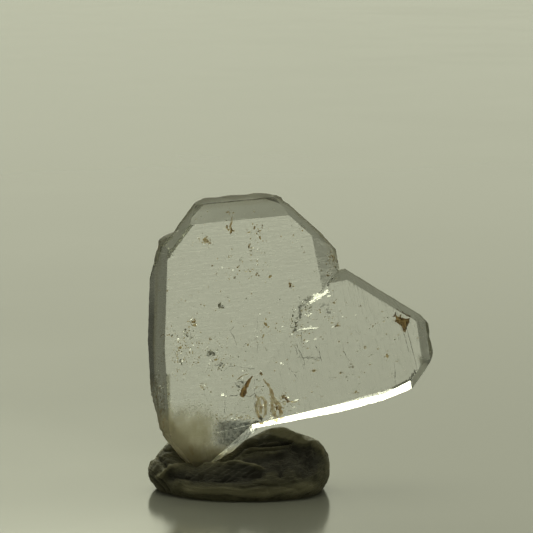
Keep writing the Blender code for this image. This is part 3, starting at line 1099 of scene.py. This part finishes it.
def scatterTree(name, shape, material):
    # points over the sheets, each with a small turned copy of the shape
    tree = bpy.data.node_groups.new(name, "GeometryNodeTree")
    board = Board(tree)
    kinds = {"Geometry": "Geometry", "Per square mm": "Float", "Smallest": "Float"}
    kinds |= {"Largest": "Float", "Clumping": "Float", "Seed": "Int"}
    for label, kind in kinds.items():
        tree.interface.new_socket(label, in_out="INPUT", socket_type="NodeSocket" + kind)
    tree.interface.new_socket("Geometry", in_out="OUTPUT", socket_type="NodeSocketGeometry")
    given = tree.nodes.new("NodeGroupInput")
    take = {label: Wire(board, given.outputs[label]) for label in kinds}

    def anyOf(low, high, seed):
        values = {0: low, 1: high, 8: seed}
        return board.node("FunctionNodeRandomValue", {"data_type": "FLOAT_VECTOR"}, values)

    weight = board.node("GeometryNodeInputNamedAttribute", {"data_type": "FLOAT"}, {"Name": "weight"})
    here = board.node("GeometryNodeInputPosition")
    clumps = board.grit(here, take["Clumping"], 3.0, 0.6).smooth(0.36, 0.64)
    density = take["Per square mm"] * weight * clumps
    dense = {"Mesh": take["Geometry"], "Density": density, "Seed": take["Seed"]}
    points = board.node("GeometryNodeDistributePointsOnFaces", None, dense)
    jitter = anyOf((-0.05, -0.12, -0.05), (0.05, 0.12, 0.05), 1)
    points = board.node("GeometryNodeSetPosition", None, {"Geometry": points, "Offset": jitter})
    sizes = {2: take["Smallest"], 3: take["Largest"], 8: 3}
    size = board.node("FunctionNodeRandomValue", {"data_type": "FLOAT"}, sizes, 1)
    squash = anyOf((0.5, 0.5, 0.5), (1.3, 1.3, 1.3), 4)
    scale = board.node("VectorMath", {"operation": "SCALE"}, {0: squash, "Scale": size})
    placed = {"Points": points, "Instance": board.node(*shape), "Scale": scale}
    placed["Rotation"] = anyOf((0, 0, 0), (6.3, 6.3, 6.3), 2)
    placed = board.node("GeometryNodeInstanceOnPoints", None, placed)
    placed = board.node("GeometryNodeRealizeInstances", None, {"Geometry": placed})
    placed = board.node("GeometryNodeSetMaterial", None, {"Geometry": placed, "Material": material})
    out = tree.nodes.new("NodeGroupOutput")
    tree.links.new(placed.socket, out.inputs["Geometry"])
    return tree


def scatter(name, mesh, shape, material, values):
    # the shape strewn over the sheets, made one plain mesh
    obj = bpy.data.objects.new(name, mesh)
    bpy.context.scene.collection.objects.link(obj)
    modifier = obj.modifiers.new("scatter", "NODES")
    modifier.node_group = scatterTree(name, shape, material)
    for item in modifier.node_group.interface.items_tree:
        if item.in_out == "INPUT" and item.name in values:
            modifier[item.identifier] = values[item.name]
    graph = bpy.context.evaluated_depsgraph_get()
    made = bpy.data.meshes.new_from_object(obj.evaluated_get(graph))
    obj.modifiers.remove(modifier)
    obj.data = made
    made.name = name
    made.transform(toWorld)
    print(name, "made with", len(made.polygons), "faces")


def clustered(at, clusters, base):
    # how many specks gather at a point
    weight = base
    for u, v, reachU, reachV, strength in clusters:
        weight += strength * math.exp(-(((at.x - u) / reachU) ** 2) - ((at.z - v) / reachV) ** 2)
    return weight


def milkiness(at):
    # how cloudy the root is at a point
    drift = noise.noise(at * 0.8) * 1.1 + noise.noise(at * 2.3) * 0.5
    top = limit((8.7 - at.z - drift) / 3.0)
    right = limit((-5.0 - at.x - drift * 0.8) / 2.2)
    low = limit(4.6 - at.z)
    return 0.02 + top * top * max(right, low) * (1.0 + 1.5 * low)


ball = ("GeometryNodeMeshIcoSphere", None, {"Radius": 0.5, "Subdivisions": 1})
splinterSize = {"Vertices": 3, "Radius Bottom": 0.5, "Depth": 0.8}
splinter = ("GeometryNodeMeshCone", {"fill_type": "NGON"}, splinterSize)


def makeSpecks():
    # two drifts of fine specks, brown and grey
    kinds = {
        "specks": ("speckClusters", 0.3, (0.62, 0.48, 0.26), (0.98, 0.92, 0.75)),
        "crumbs": ("crumbClusters", 0.15, (0.34, 0.34, 0.25), (0.84, 0.82, 0.70)),
    }
    for name, (clusters, base, deep, light) in kinds.items():
        mesh = sheets(strewn["levels"], *strewn["field"], lambda at: clustered(at, strewn[clusters], base))
        scatter(name, mesh, ball, amber(name + "Stain", deep, light, 0.85, 4.0), strewn[name])


def makeMilk():
    # pale splinters that cloud the root
    first, step, count = strewn["milkLevels"]
    levels = [first + step * index for index in range(count)]
    mesh = sheets(levels, *strewn["milkField"], milkiness)
    milky = amber("milkFleck", (0.88, 0.82, 0.64), (0.98, 0.96, 0.90), 0.7, 0.8, 0.4, 1.12)
    scatter("flecks", mesh, splinter, milky, strewn["flecks"])


putty = {
    "centre": (-4.6, 0.0),
    "half": (8.3, 4.8),
    "waist": 1.6,
    "segments": 440,
    "rings": 130,
    "footRings": 18,
    "footTuck": (0.10, 0.05),
    "fullness": (0.58, 0.34),
    # height of the top, then each hump's place, rise and reach
    "crown": 2.9,
    "humps": (
        ((-0.5, 0.7), 2.8, (4.3, 3.6)),
        ((3.0, 0.4), 0.9, (1.8, 2.6)),
        ((-11.0, 1.6), 2.2, (1.6, 2.0)),
        ((-7.4, 3.2), -0.9, (2.4, 2.0)),
    ),
    # finger ridges in each millimetre and their height, and how far the rolled lines bend
    "ridges": (0.55 / 0.46, 0.022),
    "roll": 0.02,
    # where the noise that lets the strokes wander is read, for each direction
    "wander": ((0.0, 0.0, 0.0), (31.4, 7.1, 12.6), (5.3, 40.2, 23.7)),
    # the putty's own shades, then the painted shade in its deepest folds and the painted light on its
    # palest crests and along its outline
    "shades": ((0.38, (0.042, 0.038, 0.018)), (0.5, (0.092, 0.085, 0.042)), (0.62, (0.175, 0.161, 0.086))),
    "paintedShade": (0.012, 0.010, 0.005),
    "dust": (0.34, 0.312, 0.19),
    # where the kneading left it crumbly, also mottled with painted shade: across, up and reach of each
    "crumbly": ((0.6, 2.7, 1.5, 1.3), (-11.6, 2.6, 1.0, 1.0), (2.0, 3.6, 0.8, 0.8), (-8.0, 1.7, 2.6, 0.3)),
    # painted light on crests and painted shade in hollows, colour only: width, strength, then points across
    # and up
    "paintedShading": (
        (1.0, -0.17, ((-4.4, 2.2), (-2.4, 2.5), (-0.4, 2.6))),
        (1.2, -0.36, ((0.3, 2.9), (1.4, 2.8))),
        (0.6, -0.2, ((-9.4, 1.8), (-7.0, 1.9), (-4.6, 2.0))),
        (0.44, 1.1, ((-3.2, 5.1), (-2.6, 5.4), (-1.3, 5.4), (0.2, 5.0), (1.2, 4.7))),
        (0.3, 0.2, ((1.2, 4.7), (1.9, 4.4), (2.8, 3.4), (3.3, 2.4), (3.4, 1.4))),
        (0.8, 0.18, ((-9.0, 0.3), (-3.0, 0.1), (2.5, 0.4))),
        (0.16, 0.36, ((-9.4, 2.45), (-7.2, 2.5), (-4.2, 2.5), (-2.6, 2.3))),
    ),
    # width, height, then points across and up as seen from the front
    "strokes": (
        (0.24, 0.42, (
            (-12.0, 1.3), (-11.5, 1.3), (-10.8, 1.9), (-9.6, 2.2), (-8.4, 2.45),
            (-7.2, 2.4), (-5.6, 2.4), (-4.2, 2.45), (-3.2, 2.4), (-2.6, 2.2),
        )),
        (0.48, -0.72, (
            (-10.6, 1.25), (-9.4, 1.45), (-8.0, 1.6), (-6.6, 1.6), (-5.2, 1.65), (-3.9, 1.6), (-2.8, 1.6),
        )),
        (0.5, -0.34, ((-8.6, 1.1), (-6.8, 1.1), (-5.2, 1.1), (-3.6, 1.2))),
        (0.07, -0.15, ((-3.6, 2.3), (-5.2, 1.9), (-7.0, 1.3))),
        (0.07, -0.15, ((-4.4, 2.4), (-6.2, 1.9), (-8.2, 1.3))),
        (0.07, -0.15, ((-5.6, 2.4), (-7.4, 1.9), (-9.2, 1.3))),
        (0.07, -0.15, ((-6.8, 2.4), (-8.4, 1.9), (-10.0, 1.3))),
        (0.07, -0.15, ((-3.2, 2.0), (-4.8, 1.6), (-6.4, 1.1))),
        (0.07, -0.15, ((-4.0, 2.0), (-5.6, 1.6), (-7.2, 1.1))),
        (0.07, -0.15, ((-5.0, 2.1), (-6.8, 1.6), (-8.6, 1.1))),
        (1.1, -0.24, ((-0.6, 3.3), (0.8, 3.0), (2.0, 2.6))),
        (0.6, 0.22, ((-10.4, 0.5), (-8.0, 0.3), (-5.4, 0.1), (-2.8, 0.1), (0.0, 0.2), (1.8, 0.4))),
        (0.1, -0.07, ((-9.9, 0.5), (-7.5, 0.3), (-5.0, 0.15), (-2.4, 0.3))),
        (0.1, -0.07, ((-8.4, -0.1), (-6.0, -0.3), (-3.4, -0.5), (-1.4, -0.4))),
        (0.1, -0.08, ((-4.2, 0.5), (-2.4, 0.7), (-0.6, 0.6), (0.8, 0.2))),
        (0.1, -0.08, ((-1.9, -0.4), (-0.3, 0.0), (1.2, 0.3), (2.6, 0.9))),
        (0.1, -0.08, ((0.2, -0.6), (1.6, -0.2), (2.8, 0.5))),
        (0.3, 0.42, (
            (-6.3, 3.2), (-5.5, 3.7), (-4.5, 4.3), (-3.4, 4.75),
            (-2.3, 5.3), (-1.1, 5.5), (0.0, 5.1), (1.0, 4.7),
        )),
        (0.24, -0.2, ((-4.0, 4.0), (-3.2, 4.3), (-2.3, 4.55), (-1.2, 4.65), (-0.2, 4.7))),
        (0.16, -0.6, (
            (-6.2, 2.55), (-5.6, 2.7), (-4.95, 3.25), (-4.2, 3.85), (-3.6, 4.1),
            (-2.7, 4.05), (-1.6, 4.15), (-0.6, 4.3), (0.2, 4.5),
        )),
        (0.2, 0.3, (
            (-4.6, 2.8), (-4.2, 3.3), (-3.6, 3.7), (-2.7, 3.8), (-1.7, 3.9), (-0.6, 4.0), (0.1, 4.2),
        )),
        (0.24, 0.14, ((-4.2, 2.8), (-3.4, 3.3), (-2.4, 3.45), (-1.4, 3.5), (-0.6, 3.6))),
        (0.1, -0.14, ((-3.9, 3.3), (-3.0, 3.55), (-2.0, 3.65), (-1.0, 3.75))),
        (0.42, -0.38, ((-3.9, 2.6), (-2.8, 2.6), (-1.8, 2.8), (-0.8, 3.0))),
        (0.34, -0.3, ((-2.4, 2.1), (-1.5, 2.2), (-1.0, 1.9), (-0.8, 1.5))),
        (0.34, -0.3, ((-0.7, 4.4), (0.0, 4.2), (0.6, 3.9), (0.9, 3.4))),
        (0.3, 0.34, ((0.9, 4.5), (1.6, 4.2), (2.3, 3.9), (2.8, 3.4))),
        (0.2, -0.16, ((-0.9, 2.6), (-0.5, 2.1), (-0.9, 1.5))),
        (0.2, -0.16, ((1.2, 4.0), (1.5, 3.6), (1.6, 3.0), (1.4, 2.3))),
        (0.1, -0.05, ((1.9, 3.9), (2.3, 3.0), (2.5, 2.0), (2.1, 0.9))),
        (0.1, -0.05, ((2.5, 3.5), (2.9, 2.7), (3.1, 1.7), (2.7, 0.5))),
        (0.5, -0.24, ((0.9, 1.3), (1.6, 1.7), (1.9, 2.4))),
        (0.18, -0.42, ((-12.3, 3.0), (-11.9, 2.7), (-11.4, 2.5), (-11.0, 2.0))),
        (0.14, -0.2, ((-11.9, 3.6), (-11.4, 3.4), (-10.9, 3.4))),
        (0.24, 0.16, ((-12.8, 2.4), (-12.3, 2.5), (-11.8, 2.2), (-11.4, 1.9))),
        (0.12, -0.2, ((-12.8, 1.3), (-12.2, 0.9), (-11.6, 0.2), (-11.2, -0.2))),
        (0.12, -0.18, ((-12.4, 1.6), (-11.8, 1.2), (-11.2, 0.5), (-10.8, 0.0))),
    ),
}


def bumpAt(x, y, at, height, reach):
    return height * np.exp(-(((x - at[0]) / reach[0]) ** 2) - ((y - at[1]) / reach[1]) ** 2)


def wadOutline(turn, reach):
    # a rounded oblong seen from above, narrower to the left, at a share of its full size
    c, s = np.cos(turn), np.sin(turn)
    x = np.copysign(np.abs(c) ** 0.8, c)
    y = np.copysign(np.abs(s) ** 0.8, s)
    y = y * (1.0 + 0.42 * np.minimum(0.0, x) * np.abs(x))
    across = putty["centre"][0] + x * putty["half"][0] * reach[0]
    return across, putty["centre"][1] + y * putty["half"][1] * reach[1]


def wadTop(x, y):
    # how high the wad's smooth top stands there
    height = putty["crown"]
    for place, rise, reach in putty["humps"]:
        height = height + bumpAt(x, y, place, rise, reach)
    return height


def wadGrid():
    # level rings of points from the crown down to the base
    turn = np.linspace(0, 2 * np.pi, putty["segments"], endpoint=False)
    rows = []
    waist = putty["waist"]
    fullness = putty["fullness"][0] + putty["fullness"][1] * np.sin(turn) ** 2
    for ring in range(1, putty["rings"] + 1):
        part = ring / putty["rings"]
        reach = math.sin(part * math.pi / 2)
        rise = max(0.0, math.cos(part * math.pi / 2)) ** fullness
        x, y = wadOutline(turn, (reach, reach))
        if ring == putty["rings"]:
            rise = np.zeros_like(turn)
        rows.append(np.stack((x, y, waist + (wadTop(x, y) - waist) * rise), axis=1))
    tuckX, tuckY = putty["footTuck"]
    for ring in range(1, putty["footRings"] + 1):
        part = ring / putty["footRings"]
        x, y = wadOutline(turn, (1.0 - tuckX * part * part, 1.0 - tuckY * part * part))
        rows.append(np.stack((x, y, np.full_like(x, waist * (1.0 - part))), axis=1))
    return np.array(rows)


def strokeHeight(strokes, across, up):
    # the summed height of the strokes at points seen from the front
    total = np.zeros_like(across)
    for width, height, points in strokes:
        nearest = np.full_like(across, 1e9)
        for (x0, y0), (x1, y1) in zip(points, points[1:]):
            dx, dy = x1 - x0, y1 - y0
            part = np.clip(((across - x0) * dx + (up - y0) * dy) / (dx * dx + dy * dy), 0, 1)
            away = np.hypot(across - x0 - part * dx, up - y0 - part * dy)
            nearest = np.minimum(nearest, away)
        total += height * np.exp(-((nearest / width) ** 2) * 1.6)
    return total


def wadNormals(rows):
    # the way each point of the smooth wad faces
    step = np.roll(rows, -1, axis=1) - np.roll(rows, 1, axis=1)
    normal = np.cross(np.gradient(rows, axis=0), step)
    normal /= np.maximum(np.linalg.norm(normal, axis=2, keepdims=True), 1e-9)
    if normal[5, :, 2].mean() < 0:
        normal = -normal
    return normal.reshape(-1, 3)


def wadLump(at, hidden):
    # the kneaded surface away from the strokes: lumps, soft folds, finger ridges and rolled lines
    lump = 0.16 * noise.noise(at * 0.35) + 0.05 * noise.noise(at * 1.5) + 0.024 * noise.noise(at * 4.5)
    shift = Vector((noise.noise(at * 0.5), noise.noise(at * 0.5 + Vector((9, 2, 4))), 0.0))
    strand = at + shift * 0.8
    fold = 1.0 - 2.2 * abs(noise.noise(Vector((strand.x * 0.45, strand.y * 0.9, strand.z * 1.3))))
    across = strand.z * 1.6 + strand.x * 0.75 + strand.y * 0.9
    finger = math.sin(across * 2 * math.pi * putty["ridges"][0])
    patch = max(0.0, noise.noise(at * 0.55 + Vector((4, 4, 1))) + 0.15)
    rolled = Vector((at.x * 0.7, at.y * 0.7, (at.z - putty["roll"] * (at.x + 5.0) ** 2) * 3.6))
    lines = 0.05 * noise.noise(rolled) + 0.03 * noise.noise(rolled * 2.3)
    return lump + 0.05 * fold * (0.6 + hidden) + putty["ridges"][1] * finger * patch + lines


def wadRelief(flat, up, facing):
    # how high each point stands proud, and how deep in a fold it lies, which sets its painted shade or
    # painted light
    shifts = [Vector(shift) for shift in putty["wander"]]
    wander = np.array([[noise.noise(Vector(point) * 0.55 + shift) for shift in shifts] for point in flat])
    seen = flat[:, 0] + wander[:, 0] * 0.24, up + wander[:, 2] * 0.24
    height = strokeHeight(putty["strokes"], *seen) * facing * (0.85 + 0.4 * wander[:, 1])
    folds = np.clip(height, -0.6, 0.3) + strokeHeight(putty["paintedShading"], *seen) * np.minimum(1.0, facing * 3.0)
    for index, point in enumerate(flat):
        at = Vector(point)
        for across, high, reachX, reachY in putty["crumbly"]:
            near = math.exp(-(((at.x - across) / reachX) ** 2) - ((up[index] - high) / reachY) ** 2)
            near *= facing[index]
            # painted shade, mottled over the crumbly patch
            folds[index] -= near * 0.2 * noise.noise(at * 2.6)
            height[index] += near * (0.16 * noise.noise(at * 1.9) + 0.08 * noise.noise(at * 4.1))
        height[index] += wadLump(at, 1.0 - facing[index])
    return height, folds


def wadMesh(points, rings, segments):
    # the rings joined, with a crown point above and one flat face below
    bm = bmesh.new()
    verts = [bm.verts.new(Vector(point)) for point in points]
    after = [(seg + 1) % segments for seg in range(segments)]
    for start in range(0, (rings - 1) * segments, segments):
        for seg in range(segments):
            a, b = start + seg, start + after[seg]
            bm.faces.new((verts[a], verts[b], verts[b + segments], verts[a + segments]))
    crown = bm.verts.new(Vector((*putty["centre"], float(points[:segments, 2].mean()))))
    for seg in range(segments):
        bm.faces.new((crown, verts[after[seg]], verts[seg]))
    bm.faces.new(verts[-segments:])
    bmesh.ops.recalc_face_normals(bm, faces=bm.faces)
    return bm


def makePutty():
    rows = wadGrid()
    rings, segments, _ = rows.shape
    flat = rows.reshape(-1, 3)
    normal = wadNormals(rows)
    rise = math.radians(shot["elevation"])
    up = flat[:, 2] * math.cos(rise) + flat[:, 1] * math.sin(rise)
    facing = np.clip((0.35 - normal[:, 1]) / 0.5, 0, 1)
    height, folds = wadRelief(flat, up, facing)
    settle = np.clip(flat[:, 2] / 0.5, 0, 1)
    moved = flat + normal * (height * settle)[:, None]
    moved[:, 2] = np.maximum(moved[:, 2], 0.0)
    moved[-segments:, 2] = 0.0
    bm = wadMesh(moved, rings, segments)
    wad = newObject("puttyWad", bm, kneaded(), Matrix.Diagonal((mm, mm, mm, 1.0)))
    wad.data.shade_smooth()
    # the folds set the painted shade and light; the second attribute holds how far each point faces back,
    # for painted light along the outline
    for label, values in (("fold", folds), ("dust", normal[:, 1])):
        values = np.append(values, 0.0).astype(np.float32)
        wad.data.attributes.new(label, "FLOAT", "POINT").data.foreach_set("value", values)
    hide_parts("putty_wad")
    print("putty made")


def kneaded():
    material, board = newMaterial("greyPutty")
    here = board.upright()
    cloud = board.grit(here, 0.5, 5.0, 0.6, 0.5)
    fine = board.grit(here, 9.0, 4.0, 0.65)
    x, y, z = board.parts(here)
    rolled = z - (x + 5.0) * (x + 5.0) * putty["roll"]
    drag = board.grit(board.join(x, y, rolled * 6.0), 1.3, 4.0, 0.6, 1.0)
    tone = cloud * 0.45 + drag * 0.4 + fine * 0.15
    colour = board.node("ValToRGB", {"stops": putty["shades"]}, {0: tone})
    # painted shade: darker down in the folds and hollows
    fold = board.node("Attribute", {"attribute_name": "fold"}, None, 2)
    colour = board.mix(fold.smooth(0.06, -0.34, 0.0, 0.85), colour, (*putty["paintedShade"], 1))
    # painted light: paler where the surface turns sideways along the outline, and on the crests
    behind = board.node("Attribute", {"attribute_name": "dust"}, None, 2)
    crest = (behind + drag * 0.3).smooth(-0.3, 0.2) * behind.smooth(0.6, 0.25, 0.0, 0.6)
    dust = crest.most(fold.smooth(0.04, 0.4, 0.0, 0.95))
    surface = {
        "Base Color": board.mix(dust, colour, (*putty["dust"], 1)),
        "Roughness": tone.smooth(0.35, 0.65, 0.58, 0.42),
        "Normal": board.bump(drag + fine * 0.45, 0.00015, 0.9),
        "Sheen Weight": 0.3,
        "Sheen Roughness": 0.45,
        "Sheen Tint": (0.80, 0.75, 0.56, 1),
    }
    board.finish(surface)
    return material


def finishPieces():
    # every piece rides on the one body
    for obj in list(bpy.context.scene.objects):
        if obj.type != "MESH" or obj.name in frame["nodes"] or obj.name == "floor":
            continue
        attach(obj, "root")


scene = bpy.context.scene
scene.cycles.max_bounces = 20
scene.cycles.transmission_bounces = 20
scene.cycles.glossy_bounces = 10
scene.view_settings.view_transform = "Standard"
makeCamera()
makeRoom()
makeFloor()
print("camera, light and floor made")
makeCrystal()
makeGrains()
makeStains()
makeCracks()
makeFlashes()
makeSpecks()
makeMilk()
makePutty()
finishPieces()
